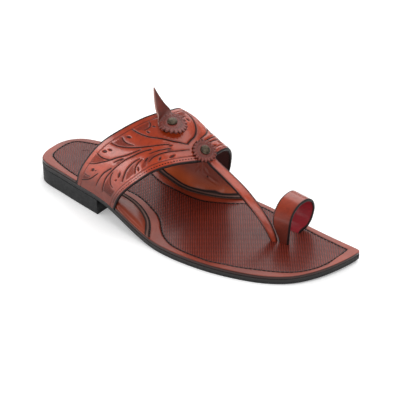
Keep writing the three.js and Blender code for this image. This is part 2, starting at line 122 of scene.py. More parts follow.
# Ears: inner edge, swelling and height to which they climb the inside of the band
EAR_LATERAL = table(
    "along inner pillow wall",
    (62, 29, 0, 0.5), (66, 25.5, 0.6, 2), (78, 22.6, 1.2, 4), (93, 21.6, 1.5, 3), (105, 21.2, 1.9, 0.8),
    (113, 22.7, 2, 0), (120, 25.5, 1.8, 0), (127, 30, 1.3, 0), (132.5, 36, 0.7, 0), (137, 42.4, 0.2, 0),
    (139, 45.4, 0, 0),
)
EAR_MEDIAL = table(
    "along inner pillow wall",
    (84, 29, 0, 0.5), (89, 24, 0.4, 6), (98, 21.2, 0.8, 17), (107, 20.6, 1, 24), (116, 20.6, 1.2, 28.5),
    (124, 22.4, 1.2, 30), (132, 26, 1.2, 28.5), (140, 30.1, 1.2, 23), (149, 34.6, 1, 13),
    (156, 38.5, 0.7, 5.5), (161, 42, 0.3, 1.6), (165.5, 46.6, 0, 0),
)
EAR_EDGE = 1.3
EAR_RIM = 1.8
EAR_FLANGE = 4
EAR_STRIP = 5
EAR_STITCHES = (0.8, 4.2)

# Soft creases and a nail hole in the medial ear: place, length, turn from level in degrees, and depth
EAR_CREASES = table(
    "along height length turn depth",
    (126.5, 28.5, 7, 65, 0.5), (129.5, 30, 6, 90, 0.55), (132.5, 28, 6, 118, 0.45),
    (137.5, 20, 9, 150, 0.35),
)
CREASE_WAVE = 1.6
CREASE_SPREAD = 2.2
EAR_HOLE = {"along": 134, "height": 22, "radius": 0.9}

# A nick in the heel seat, from end to end
NICK = np.array([(23.8, 8.2), (26, 10), (28.5, 11.8)])

# Rosettes, rivets and the horn
ROSETTE_REAR = {"spot": (0.4215, 125.5), "lift": 5.5}
ROSETTE_FRONT = {"spot": (0.449, 152.1), "lift": 0}
LIFT_TURN = math.radians(38)
LIFT_EASE = 0.5
ROSETTE_RADIUS = 10
ROSETTE_WALL = 2
ROSETTE_TEETH = 20
TOOTH_DEPTH = 1.1
RIVET_RADIUS = 4
RIVET_HEIGHT = 1.9
HORN = table(
    "along height half wall",
    (122.5, 86.4, 7, 1.2), (118, 87.6, 7.4, 1.6), (115.4, 89.8, 7, 1.8), (112.4, 94, 5.4, 1.8),
    (110.2, 99, 3.6, 1.7), (108.5, 104, 1.9, 1.5), (107.2, 109, 0.4, 0.9),
)
HORN_ASIDE = 2.1
HORN_CUP = 0.16

# Seam that parts the embossed field of the footbed from its plain border
SEAM = table(
    "along lateral medial",
    (6.5, 2, 9), (8.5, 10, 14.5), (13, 14.5, 18.5), (30, 21, 24), (46, 25, 27.3), (58, 26.5, 28),
    (66, 25, 27.5), (75, 20.5, 25.5), (84, 17, 20.5), (92.5, 15.6, 15.8), (103, 14.3, 14.1),
    (112, 15.3, 15.3), (120, 17.3, 16.9), (126, 19.4, 18.2), (132, 23.7, 20), (137.5, 29.5, 21.8),
    (144, 35.4, 25.2), (152, 40.2, 29.8), (160, 43, 34.8), (168, 44, 40.3), (176, 44.1, 43.6),
    (184, 43.7, 44.3), (194, 42.8, 43), (206, 39, 41.4), (217, 35.7, 40), (230.5, 29.7, 38.1),
    (243.5, 23.6, 35.9), (255.5, 15.6, 34.3), (264.5, 4, 32.7), (269, -9, 31.9), (270.5, -24, 31.6),
)

# Tooling of the band, charted on its flat. round: distance along the band from its lateral foot;
# share: 0 at the back edge, 1 at the front edge. The chart is repeated in mirror on the medial side.
CHART_MIDDLE = 98
CHART_WIDTH = 50
CUTS = [
    {"width": 1.0, "path": [(75.5, 0.14), (75.3, 0.25), (76.3, 0.36), (79, 0.47), (83, 0.56), (88, 0.63),
                            (94, 0.675), (100.5, 0.735)]},
    {"width": 0.9, "path": [(54.3, 0.16), (54.8, 0.27), (57, 0.36), (61, 0.46), (65.5, 0.53), (70, 0.585),
                            (75, 0.64), (84, 0.68)]},
    {"width": 0.9, "path": [(39, 0.12), (37.5, 0.2), (37.7, 0.3), (39.5, 0.385)]},
    {"width": 0.9, "path": [(26, 0.12), (28, 0.2), (31, 0.265), (35, 0.335), (40, 0.4), (45, 0.445),
                            (50, 0.5), (56, 0.54), (64, 0.57)]},
    {"width": 0.9, "path": [(6.8, 0.12), (8.5, 0.19), (11, 0.27), (14, 0.325), (17.5, 0.36), (21, 0.39)]},
    {"width": 0.9, "path": [(9, 0.475), (20, 0.475), (25, 0.48), (29, 0.5), (33.5, 0.52)]},
    {"width": 0.9, "path": [(7.5, 0.65), (11, 0.625), (15, 0.605), (20, 0.58), (25, 0.57), (38, 0.565)]},
    {"width": 0.8, "path": [(40, 0.48), (44, 0.5), (47.5, 0.53)]},
    {"width": 0.8, "path": [(38, 0.565), (48, 0.575), (54, 0.595), (60, 0.61), (65, 0.63), (70, 0.66)]},
    {"width": 0.7, "path": [(18, 0.8), (18.5, 0.75), (20, 0.71), (23, 0.66), (27, 0.62), (31, 0.6)]},
    {"width": 0.8, "path": [(30, 0.84), (33, 0.805), (37, 0.765), (41, 0.73), (46, 0.705), (52, 0.695),
                            (57, 0.7)]},
    {"width": 0.6, "path": [(64, 0.18), (62, 0.27), (62, 0.35), (63.5, 0.44)]},
    {"width": 0.6, "path": [(80.5, 0.27), (85, 0.265), (88, 0.22), (90, 0.16)]},
    {"width": 0.6, "path": [(14.5, 0.13), (13.6, 0.2), (14.5, 0.27)]},
    {"width": 0.6, "path": [(66, 0.72), (75, 0.735), (83, 0.74)]},
    {"width": 0.6, "path": [(60, 0.83), (65, 0.8), (70, 0.79), (84, 0.79), (96, 0.8)]},
    {"width": 0.6, "path": [(44, 0.86), (48, 0.79), (53, 0.75), (58, 0.735)]},
]
# Almond cuts, right through the skin: place, length, width and turn from the run of the band, in degrees
SLITS = table(
    "round share length width turn",
    (44, 0.2, 4.6, 3.2, 70), (48, 0.25, 4.2, 2, 80), (22, 0.255, 4.6, 3.4, 20),
    (67.6, 0.245, 4.6, 2.6, 75), (81, 0.34, 3.8, 2, 100), (90.5, 0.46, 4, 1.7, 95),
    (88.6, 0.28, 3.2, 1.8, 80), (33, 0.715, 7.6, 1.9, -28), (26.5, 0.745, 3, 1.4, -20),
    (49, 0.835, 5, 1.3, -50), (60, 0.777, 6.6, 1.4, -20), (69, 0.852, 5.4, 1.5, -30),
    (79, 0.862, 7.4, 1.7, -17), (68.4, 0.655, 4.2, 1.8, 18), (46.4, 0.525, 4.4, 2, 22),
    (31.6, 0.517, 4.4, 1.4, 14), (22.5, 0.32, 2.6, 1.2, 40), (81, 0.765, 5.5, 0.9, 0),
    (84.5, 0.7, 4.6, 1.2, -10), (100, 0.6, 2.2, 0.9, 30),
)
# Ground between the leaves, stippled and dyed darker
WELLS = [
    [(26.8, 0.12), (38.4, 0.12), (37, 0.2), (37.2, 0.32), (34.5, 0.325), (29, 0.21)],
    [(55.2, 0.17), (64, 0.17), (61.8, 0.27), (62, 0.36), (63, 0.46), (58, 0.37), (55.6, 0.27)],
    [(76.4, 0.15), (90, 0.15), (87.6, 0.21), (84.5, 0.255), (80, 0.26), (77, 0.23)],
    [(7.6, 0.12), (14.2, 0.13), (13.2, 0.2), (14.4, 0.29), (11.4, 0.265), (8.6, 0.18)],
    [(41, 0.5), (47, 0.53), (52, 0.57), (40, 0.56), (38, 0.53)],
    [(8, 0.655), (15, 0.62), (26, 0.6), (20, 0.69), (17, 0.78), (17, 0.88), (8, 0.88)],
    [(33, 0.84), (38, 0.775), (46, 0.72), (56, 0.71), (48, 0.77), (43.5, 0.87), (34, 0.88)],
    [(50, 0.88), (54, 0.8), (60, 0.75), (66, 0.74), (76, 0.75), (68, 0.78), (60, 0.82), (56, 0.88)],
]
BORDER_BACK = 6.2
BORDER_FRONT = 4.9
STITCH_FRONT = 2.8
CUT_DEPTH = 0.6
CUT_SHOULDER = 0.35
SLIT_DEPTH = 0.8
WELL_DEPTH = 0.35
BORDER_DEPTH = 0.4

# Relief of the footbed
SEAM_DEPTH = 0.4
FIELD_DEPTH = 0.15
NICK_DEPTH = 0.3
HATCH_PITCH = 1.8
HATCH_LEAN = math.radians(37)
NOTCH_EASE = 0.6

# Stitches: length, gap between two and radius of the thread, which lies partly sunk
SEAM_STITCH = {"length": 2.8, "gap": 0.7, "radius": 0.62}
BAND_STITCH = {"length": 1.5, "gap": 0.8, "radius": 0.4}
EAR_STITCH = {"length": 2, "gap": 0.6, "radius": 0.45}
STITCH_SINK = 0.4
STITCH_SIDES = 8

# Edges of the straps: rounding outside and inside, and a tooled line beside the thong's edges
STRIP_ROUND = 0.6
LINING_ROUND = 0.4
THONG_LINE = {"inset": 1.2, "half": 0.35, "depth": 0.25}

# Mesh: rings along a piece and columns across its shown face
OUTSOLE_MESH = (420, 24)
HEEL_MESH = (200, 20)
FOOTBED_MESH = (560, 150)
BAND_MESH = (470, 122)
THONG_MESH = (240, 14)
LOOP_MESH = (300, 26)
EAR_MESH = (150, 48)
EAR_FLANGE_COLUMNS = 14
UNDER_COLUMNS = 10
LINING_COLUMNS = 30
HORN_RINGS = 120
ROSETTE_SIDES = 240
RIVET_SIDES = 64
EDGE_EASE = np.array([0, 0.12, 0.3, 0.55, 0.9])

# Studio, in metres and watts
LAMPS = {
    "left": {"place": (-0.94, -0.87, 0.3), "aim": (-0.03, 0, 0.05), "size": (1.2, 0.45), "power": 8},
    "back": {"place": (-0.53, 1.1, 1.02), "aim": (0, 0, 0.02), "size": (1.8, 1.2), "power": 16},
    "top": {"place": (0.5, 0.1, 1.6), "aim": (0, 0, 0), "size": (1.4, 1.4), "power": 14},
    "fill": {"place": (0.9, -0.9, 0.6), "aim": (0, 0, 0.03), "size": (0.9, 0.7), "power": 5},
}
CAMERA = {"place": (0.6151, -0.7985, 0.6495), "aim": (-0.0105, 0.0317, 0), "lens": 135, "sensor": 36}
WORLD_STRENGTH = 0.28
FLOOR_HALF = 6
FLOOR_GLOW = 0.25
WHITE = (1, 1, 1, 1)


# Small helpers
def lerp(a, b, k):
    return a + (b - a) * k


def smoothstep(x, low, high):
    k = np.clip((x - low) / (high - low), 0, 1)
    return k * k * (3 - 2 * k)


def unit(v):
    return v / np.linalg.norm(v, axis=-1, keepdims=True)


def xyz(along, y, z):
    return np.stack(np.broadcast_arrays(np.asarray(along, float) - LENGTH / 2, y, z), -1)


def smooth(rows, name, by=None):
    """A column as a smooth function of another column, or of the row number."""
    values = rows[name]
    knots = rows[by] if by else np.arange(len(values), dtype=float)
    last = len(values) - 1
    low = np.maximum(np.arange(last + 1) - 1, 0)
    high = np.minimum(np.arange(last + 1) + 1, last)
    slopes = (values[high] - values[low]) / (knots[high] - knots[low])

    def read(at):
        t = np.clip(at, knots[0], knots[-1])
        i = np.clip(np.searchsorted(knots, t) - 1, 0, last - 1)
        span = knots[i + 1] - knots[i]
        k = (t - knots[i]) / span
        lead = slopes[i] * (1 - k) - slopes[i + 1] * k
        return lerp(values[i], values[i + 1], k * k * (3 - 2 * k)) + lead * span * k * (1 - k)

    return read


def through(points, count):
    """A centripetal curve through points, in count steps."""
    p = np.asarray(points, float)
    p = np.vstack([2 * p[0] - p[1], p, 2 * p[-1] - p[-2]])
    at = np.linspace(0, len(p) - 3, count + 1)
    i = np.minimum(at.astype(int), len(p) - 4)
    p0, p1, p2, p3 = (p[i + k] for k in range(4))

    def root_gap(a, b):
        return np.sqrt(np.linalg.norm(b - a, axis=1))[:, None]

    d0, d1, d2 = root_gap(p0, p1), root_gap(p1, p2), root_gap(p2, p3)
    t1 = d1 * ((p1 - p0) / d0 - (p2 - p0) / (d0 + d1) + (p2 - p1) / d1)
    t2 = d1 * ((p2 - p1) / d1 - (p3 - p1) / (d1 + d2) + (p3 - p2) / d2)
    k = (at - i)[:, None]
    ease = k * k * (3 - 2 * k)
    return lerp(p1, p2, ease) + (t1 * (1 - k) - t2 * k) * k * (1 - k)


def run_of(points):
    """Distance along a line of points."""
    return np.concatenate([[0], np.cumsum(np.linalg.norm(np.diff(points, axis=0), axis=1))])


def evenly(points, step):
    """The same line with points a step apart, and the directions along it."""
    run = run_of(points)
    at = np.linspace(0, run[-1], max(int(round(run[-1] / step)), 1) + 1)
    made = np.stack([np.interp(at, run, points[:, i]) for i in range(points.shape[1])], -1)
    return made, unit(np.gradient(made, axis=0))


# Outline and heights of the sole
half_width = BALL_WIDTH / 2
outline_points = np.stack([SOLE["along"], SOLE["lateral"] * half_width, SOLE["medial"] * half_width], -1)
stations = dict(zip(("along", "lateral", "medial"), through(outline_points, SOLE_STATIONS).T))
lateral_reach = smooth(stations, "lateral", "along")
medial_reach = smooth(stations, "medial", "along")


def sole_lift(along):
    arch = HEEL_LIFT * (1 - smoothstep(along, HEEL_LENGTH - 2, ARCH_END))
    toe = np.maximum(along - TOE_SPRING_START, 0) / (LENGTH - TOE_SPRING_START)
    return arch + TOE_SPRING * toe * toe


def rubber_top(along):
    return sole_lift(along) + RUBBER


def footbed_bottom(along):
    return rubber_top(along) + GAP


def footbed_top(along):
    return footbed_bottom(along) + LEATHER


def sole_alongs(count, start=0, end=LENGTH):
    """Stations along the sole, closer where its outline turns."""
    fine = through(outline_points, 3600)
    fine = fine[(fine[:, 0] >= start) & (fine[:, 0] <= end)]
    run = run_of(fine)
    return np.interp(np.linspace(0, run[-1], count), run, fine[:, 0])


# The last over the instep, and the band on it
ridge_height = smooth(INSTEP, "ridge", "along")
band_back = smooth(BAND_CUT, "back", "across")
band_front = smooth(BAND_CUT, "front", "across")


def last_point(across, along):
    across, along = np.broadcast_arrays(np.asarray(across, float), np.asarray(along, float))
    lateral = across < 0.5
    power = 2 / np.where(lateral, LATERAL_FULLNESS, MEDIAL_FULLNESS)
    out = np.abs(np.cos(np.pi * across)) ** power
    up = np.abs(np.sin(np.pi * across)) ** power
    foot = np.where(lateral, BAND_WALL - lateral_reach(along), medial_reach(along) - BAND_WALL)
    height = lerp(footbed_bottom(along), ridge_height(along), up)
    return xyz(along, lerp(RIDGE_ASIDE, foot, out), height)


def last_tangents(across, along):
    step = 0.004
    low = np.maximum(across - step, 0)
    high = np.minimum(across + step, 1)
    around = (last_point(high, along) - last_point(low, along)) / np.asarray(high - low)[..., None]
    forward = last_point(across, along + 0.5) - last_point(across, along - 0.5)
    return around, forward, unit(np.cross(forward, around))


def over_last(across, along, by):
    return last_point(across, along) + last_tangents(across, along)[2] * np.asarray(by)[..., None]


across_fine = np.linspace(0, 1, 1601)
middle_fine = (band_back(across_fine) + band_front(across_fine)) / 2
round_fine = run_of(over_last(across_fine, middle_fine, BAND_WALL))
BAND_ROUND = round_fine[-1]


def on_disc(disc, forward, medial, by):
    """A point on a rosette, forward and medial of its middle along the leather, raised above the band."""
    spot = disc["spot"]
    lean = (forward * math.cos(LIFT_TURN) - medial * math.sin(LIFT_TURN)) / ROSETTE_RADIUS
    stand_off = disc["lift"] * (lean + np.hypot(lean, LIFT_EASE)) / 2
    around, ahead, normal = last_tangents(*(np.array(x, float) for x in spot))
    stretch = np.linalg.norm(ahead)
    ahead = ahead / stretch
    sideways = np.cross(normal, ahead)
    turn = medial / abs(np.dot(around, sideways))
    along = (forward - turn * np.dot(around, ahead)) / stretch
    return over_last(spot[0] + turn, spot[1] + along, BAND_WALL + stand_off + by)


# Meshes
def piece(name, points, faces, material, slot, replaces=(), marks=None):
    """A mesh from points in millimetres. marks are values at its points that the material reads."""
    mesh = bpy.data.meshes.new(name)
    mesh.from_pydata((np.asarray(points) * MM).tolist(), [], faces)
    mesh.update()
    for key, values in (marks or {}).items():
        stored = mesh.attributes.new(key, "FLOAT", "POINT")
        stored.data.foreach_set("value", np.asarray(values, np.float32).ravel())
    mesh.polygons.foreach_set("use_smooth", np.ones(len(mesh.polygons), bool))
    mesh.materials.append(material)
    made = bpy.data.objects.new(name, mesh)
    bpy.context.scene.collection.objects.link(made)
    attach(made, "root")
    if replaces:
        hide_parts(*replaces)
    return made


def ring_faces(rings, count):
    """Faces between rings of the same count, from the first ring to the last."""
    r = np.arange(rings - 1)[:, None] * count
    i = np.arange(count)[None, :]
    j = (i + 1) % count
    corners = np.broadcast_arrays(r + i, r + j, r + count + j, r + count + i)
    return np.stack(corners, -1).reshape(-1, 4).tolist()


def there_and_back(first, second):
    """Points or marks of rings that run along one face and back along the other."""
    return np.concatenate([first, second[:, ::-1]], 1)


def outward(points, faces):
    """The same skin with its faces turned outward."""
    fans = [(f[0], f[k], f[k + 1]) for f in faces for k in range(1, len(f) - 1)]
    a, b, c = (points[np.array(fans)[:, k]] for k in range(3))
    volume = np.einsum("ij,ij->", a, np.cross(b, c))
    return (points, [f[::-1] for f in faces]) if volume < 0 else (points, faces)


def loft(rings):
    """Points and faces of a closed skin through rings."""
    rings = np.asarray(rings)
    count = rings.shape[1]
    faces = ring_faces(rings.shape[0], count)
    end = (rings.shape[0] - 1) * count
    faces.append(list(range(count))[::-1])
    faces.append([end + i for i in range(count)])
    return outward(rings.reshape(-1, 3), faces)


def edge_drop(distance, radius):
    """How far a rounded edge lies below the face, at a distance from its brink."""
    short = np.clip(radius - distance, 0, radius)
    return radius - np.sqrt(radius * radius - short * short)


def edge_places(low, high, columns):
    """Places across a strip, closer together at its two edges."""
    middle = np.linspace(0, 1, columns)[1:-1]
    low, high = np.asarray(low)[..., None], np.asarray(high)[..., None]
    inner = lerp(low + EDGE_EASE[-1], high - EDGE_EASE[-1], middle)
    return np.concatenate([low + EDGE_EASE, inner, high - EDGE_EASE[::-1]], -1)


def stitches(name, path, normals, length, gap, radius):
    """Thread along a line, one small rounded bar a stitch."""
    run = run_of(path)
    centres = np.arange(length / 2, run[-1] - length / 2, length + gap)

    def at(values):
        return np.stack([np.interp(centres, run, values[:, k]) for k in range(3)], -1)

    ahead = unit(at(np.gradient(path, axis=0)))
    up = unit(at(normals))
    side = np.cross(up, ahead)
    middle = at(path) - up * radius * STITCH_SINK
    ends = np.array([-1, -0.86, -0.45, 0.45, 0.86, 1])
    fat = np.array([0.2, 0.75, 1, 1, 0.75, 0.2])
    turn = np.arange(STITCH_SIDES) * 2 * math.pi / STITCH_SIDES
    bar = np.stack([
        np.repeat(ends, STITCH_SIDES) * length / 2,
        np.outer(fat, np.cos(turn)).ravel() * radius,
        np.outer(fat, np.sin(turn)).ravel() * radius,
    ], -1)
    basis = np.stack([ahead, side, up], 1)
    points = (middle[:, None] + np.einsum("pk,skc->spc", bar, basis)).reshape(-1, 3)
    first_end = list(range(STITCH_SIDES))[::-1]
    last_end = list(range(len(bar) - STITCH_SIDES, len(bar)))
    one = ring_faces(len(ends), STITCH_SIDES) + [first_end, last_end]
    faces = [[v + s * len(bar) for v in f] for s in range(len(centres)) for f in one]
    piece(name, points, faces, THREAD, "trim_leather")


# Materials
def tone(code):
    """A colour from its six-figure code, in linear light."""
    parts = [int(code[i:i + 2], 16) / 255 for i in (0, 2, 4)]
    return [x / 12.92 if x <= 0.04045 else ((x + 0.055) / 1.055) ** 2.4 for x in parts] + [1]


class Look:
    """A material, with short calls for its nodes."""

    def __init__(self, name, settings):
        self.material = bpy.data.materials.new(name)
        self.material.use_nodes = True
        self.tree = self.material.node_tree
        self.shader = self.tree.nodes["Principled BSDF"]
        for key, value in settings.items():
            self.shader.inputs[key].default_value = value
        self.place = self.add("TexCoord", out="Object")

    def feed(self, socket, value):
        if isinstance(value, bpy.types.NodeSocket):
            self.tree.links.new(value, socket)
        else:
            socket.default_value = value

    def add(self, kind, inputs=None, out=0, **settings):
        node = self.tree.nodes.new("ShaderNode" + kind)
        for key, value in settings.items():
            setattr(node, key, value)
        for key, value in (inputs or {}).items():
            self.feed(node.inputs[key], value)
        return node.outputs[out]

    def mark(self, name):
        return self.add("Attribute", out="Fac", attribute_name=name)

    def most(self, *names):
        """The largest of some marks."""
        found = self.mark(names[0])
        for name in names[1:]:
            found = self.math("MAXIMUM", found, self.mark(name))
        return found

    def noise(self, scale, detail=3):
        inputs = {"Vector": self.place, "Scale": scale, "Detail": detail, "Roughness": 0.55}
        return self.add("TexNoise", inputs)

    def spread(self, scale, low=0.0, high=1.0):
        """Values that wander over the surface between two bounds."""
        return self.span(self.noise(scale), 0.3, 0.7, low, high)

    def cells(self, scale):
        return self.add("TexVoronoi", {"Vector": self.place, "Scale": scale}, out="Distance")

    def math(self, operation, a, b=0.0):
        return self.add("Math", {0: a, 1: b}, operation=operation)

    def span(self, value, low, high, to_low=0.0, to_high=1.0):
        return self.add(
            "MapRange",
            {"Value": value, "From Min": low, "From Max": high, "To Min": to_low, "To Max": to_high},
        )

    def mix(self, factor, a, b, blend="MIX"):
        return self.add("Mix", {0: factor, 6: a, 7: b}, out=2, data_type="RGBA", blend_type=blend)

    def mottled(self, scale, one, other):
        """Two colours in patches."""
        return self.mix(self.spread(scale), tone(one), tone(other))

    def dyed(self, colour, factor, code, amount=1.0):
        """A colour with another laid over it where the factor says."""
        if amount < 1:
            factor = self.math("MULTIPLY", factor, amount)
        return self.mix(factor, colour, tone(code))

    def bump(self, height, distance, normal=None):
        inputs = {"Height": height, "Distance": distance * MM}
        if normal is not None:
            inputs["Normal"] = normal
        return self.add("Bump", inputs)

    def finish(self, colour, roughness, normal):
        self.feed(self.shader.inputs["Base Color"], colour)
        self.feed(self.shader.inputs["Roughness"], roughness)
        self.feed(self.shader.inputs["Normal"], normal)
        return self.material


def grain(look, pore=620, depth=0.05):
    """Fine leather grain: pores over a soft uneven ground."""
    soft = look.bump(look.noise(150, 2), depth * 2)
    return look.bump(look.span(look.cells(pore), 0, 0.6), depth, soft)


def strap_leather(name, lining):
    look = Look(name, {"Coat Roughness": 0.2, "Specular IOR Level": 0.25})
    colour = look.mottled(38, "b8401a", "983012")
    colour = look.dyed(colour, look.span(look.noise(260, 4), 0.5, 0.85, 0, 0.5), "571708")
    colour = look.dyed(colour, look.span(look.noise(14, 2), 0.45, 0.75, 0, 0.55), "651a0c")
    colour = look.dyed(colour, look.mark("well"), "5a1c13", 0.6)
    # Tooling dye, and painted shade where the band and the toe loop darken towards their feet.
    colour = look.dyed(colour, look.mark("dye"), "160403")
    colour = look.dyed(colour, look.mark("lining"), lining)
    colour = look.dyed(colour, look.mark("edge"), "150605")
    dull = look.most("edge", "dye", "well", "lining")
    rough = look.math("ADD", look.spread(90, 0.3, 0.42), look.math("MULTIPLY", dull, 0.3))
    look.feed(look.shader.inputs["Coat Weight"], look.span(dull, 0, 1, 0.8, 0.1))
    stipple = look.math("MULTIPLY", look.cells(1100), look.mark("well"))
    return look.finish(colour, rough, look.bump(stipple, 0.3, grain(look)))


def footbed_leather():
    look = Look("footbed_leather", {"Coat Weight": 0.3, "Coat Roughness": 0.25, "Specular IOR Level": 0.2})
    field = look.mark("field")
    axes = look.add("SeparateXYZ", {0: look.place}).node.outputs
    x, y = axes["X"], axes["Y"]
    wave = 2 * math.pi / (HATCH_PITCH * MM)

    def lines(a, b):
        run = look.math("ADD", look.math("MULTIPLY", x, a * wave), look.math("MULTIPLY", y, b * wave))
        return look.span(look.math("SINE", run), -1, 1)

    c, s = math.cos(HATCH_LEAN), math.sin(HATCH_LEAN)
    hatch = look.math("MULTIPLY", look.math("MULTIPLY", lines(c, s), lines(s, -c)), field)
    # Painted light: the pressed field turns lighter and more orange towards the near, lateral side and the
    # toe.
    painted_light_near_toe = look.math("MULTIPLY", look.span(y, 10 * MM, -35 * MM), look.span(x, -30 * MM, 30 * MM))
    pressed = look.dyed(look.mottled(25, "b63c1e", "922b16"), painted_light_near_toe, "bf4220", 0.7)
    pressed = look.mix(look.span(hatch, 0, 0.6), tone("3a0b05"), pressed)
    colour = look.mix(field, look.mottled(30, "9a3c23", "7e2d1a"), pressed)
    colour = look.dyed(colour, look.span(look.noise(16, 2), 0.45, 0.75, 0, 0.5), "551509")
    colour = look.dyed(colour, look.mark("seam"), "0c0505")
    colour = look.dyed(colour, look.mark("edge"), "2a100b")
    return look.finish(colour, look.spread(70, 0.34, 0.46), look.bump(hatch, 0.9, grain(look)))


def ear_leather(name, light, dark):
    look = Look(name, {"Coat Roughness": 0.25, "Specular IOR Level": 0.2})
    colour = look.mottled(34, light, dark)
    # Painted sheen: the pad turns a dull purple-grey as it climbs, standing in for the reflection and shade
    # on its upper part.
    colour = look.dyed(colour, look.mark("height"), "7c3f36", 0.85)
    colour = look.dyed(colour, look.mark("strip"), "4c342f")
    # Painted highlight down the middle of the stitched strip.
    colour = look.dyed(colour, look.mark("pale"), "8c6a60", 0.7)
    colour = look.dyed(colour, look.mark("dye"), "0e0505")
    dull = look.most("strip", "dye")
    rough = look.math("ADD", look.spread(80, 0.28, 0.4), look.math("MULTIPLY", dull, 0.4))
    look.feed(look.shader.inputs["Coat Weight"], look.span(dull, 0, 1, 0.25, 0.02))
    return look.finish(colour, rough, grain(look))


def trim_leather():
    look = Look("trim_leather", {"Coat Weight": 0.2, "Coat Roughness": 0.3, "Specular IOR Level": 0.25})
    colour = look.mottled(120, "7c342a", "5e261e")
    colour = look.dyed(colour, look.mark("dye"), "241009")
    # Painted highlight along the horn's lateral edge.
    colour = look.dyed(colour, look.mark("pale"), "b98d80")
    return look.finish(colour, look.spread(200, 0.4, 0.55), grain(look, 800, 0.06))


def bronze():
    look = Look("bronze", {"Metallic": 0.8})
    colour = look.mix(look.span(look.noise(500), 0.35, 0.7), tone("564a3b"), tone("332b24"))
    return look.finish(colour, look.spread(900, 0.3, 0.5), look.bump(look.noise(700), 0.05))


def rubber():
    look = Look("rubber", {"Specular IOR Level": 0.28})
    colour = look.dyed(look.mottled(60, "111214", "0a0b0c"), look.mark("bevel"), "2b2827")
    normal = look.bump(look.noise(900, 4), 0.12, look.bump(look.noise(120), 0.1))
    return look.finish(colour, look.spread(300, 0.5, 0.68), normal)


def thread(name, code):
    look = Look(name, {"Specular IOR Level": 0.15})
    twist = look.add("TexWave", {"Vector": look.place, "Scale": 900, "Distortion": 1.0})
    return look.finish(look.mottled(900, code, "060405"), look.spread(600, 0.5, 0.7), look.bump(twist, 0.1))


STRAP = strap_leather("strap_leather", "3a1c1a")
LOOP_STRAP = strap_leather("loop_leather", "8c1a26")
FOOTBED = footbed_leather()
EAR_LATERAL_SKIN = ear_leather("ear_lateral_leather", "8e3a22", "6c2817")
# Painted light: the medial ear is the same leather as the lateral ear, made brighter to stand in for light
# on it.
EAR_MEDIAL_SKIN = ear_leather("ear_medial_leather", "be542a", "963f1e")
TRIM = trim_leather()
BRONZE = bronze()
RUBBER_SKIN = rubber()
THREAD = thread("black_thread", "140d0d")


# Sole
def slab(alongs, inset, under, over, round_under, round_over, columns, notch=None):
    """Rings of a sole layer, each along its underside and back along its top."""
    low = -lateral_reach(alongs) + inset
    high = medial_reach(alongs) - inset
    if notch is not None:
        low, high = low + notch[0], high - notch[1]
    x = alongs[:, None]

    def face(count):
        y = edge_places(low, high, count)
        return y, np.minimum(y - low[:, None], high[:, None] - y)

    (y_under, brink_under), (y_over, brink_over) = face(UNDER_COLUMNS), face(columns)
    bottom = xyz(x, y_under, under(x) + edge_drop(brink_under, round_under))
    top = xyz(x, y_over, over(x) - edge_drop(brink_over, round_over))
    return there_and_back(bottom, top), brink_under, brink_over


def outsole():
    count, columns = OUTSOLE_MESH
    rings, under, over = slab(sole_alongs(count), 0, sole_lift, rubber_top, EDGE_ROUND, 0.5, columns)
    bevel = there_and_back(np.zeros_like(under), 1 - smoothstep(over, 0.1, 1.2))
    piece("outsole_rubber", *loft(rings), RUBBER_SKIN, "rubber", ["outsole"], {"bevel": bevel})


def heel():
    count, columns = HEEL_MESH
    alongs = sole_alongs(count, 0, HEEL_LENGTH)
    top = HEEL_LIFT - GAP
    rings, _, _ = slab(alongs, 0.3, lambda a: 0 * a, lambda a: 0 * a + top, EDGE_ROUND, 0.25, columns)
    reach = rings[:, :, 1]
    low, high = reach.min(1, keepdims=True), reach.max(1, keepdims=True)
    k = (reach - low) / (high - low)
    hollow = smoothstep(alongs, HEEL_LENGTH - 24, HEEL_LENGTH)[:, None]
    rings[:, :, 0] -= BREAST_HOLLOW * hollow * 4 * k * (1 - k)
    bevel = np.zeros(rings.shape[:2])
    piece("heel_rubber", *loft(rings), RUBBER_SKIN, "rubber", ["heel"], {"bevel": bevel})


def seam_distance(along, y):
    """How far inside the seam a place on the footbed lies, negative outside."""
    found = []
    for name, sign in (("lateral", 1), ("medial", -1)):
        reach = smooth(SEAM, name, "along")
        slope = reach(along + 0.5) - reach(along - 0.5)
        found.append((reach(along) + sign * y) / np.sqrt(1 + slope * slope))
    ends = [along - SEAM["along"][0], SEAM["along"][-1] - along]
    return np.minimum.reduce(found + ends)


def seam_path(step):
    rows = np.stack([SEAM["along"], -SEAM["lateral"]], -1)
    back = np.stack([SEAM["along"], SEAM["medial"]], -1)[::-1]
    loop = np.vstack([rows, back, rows[:1]])
    return evenly(through(loop, 1600), step)[0]


def window(along, start, end):
    """1 from start to end, easing to 0 beyond them."""
    return smoothstep(along, start - NOTCH_EASE, start) * (1 - smoothstep(along, end, end + NOTCH_EASE))


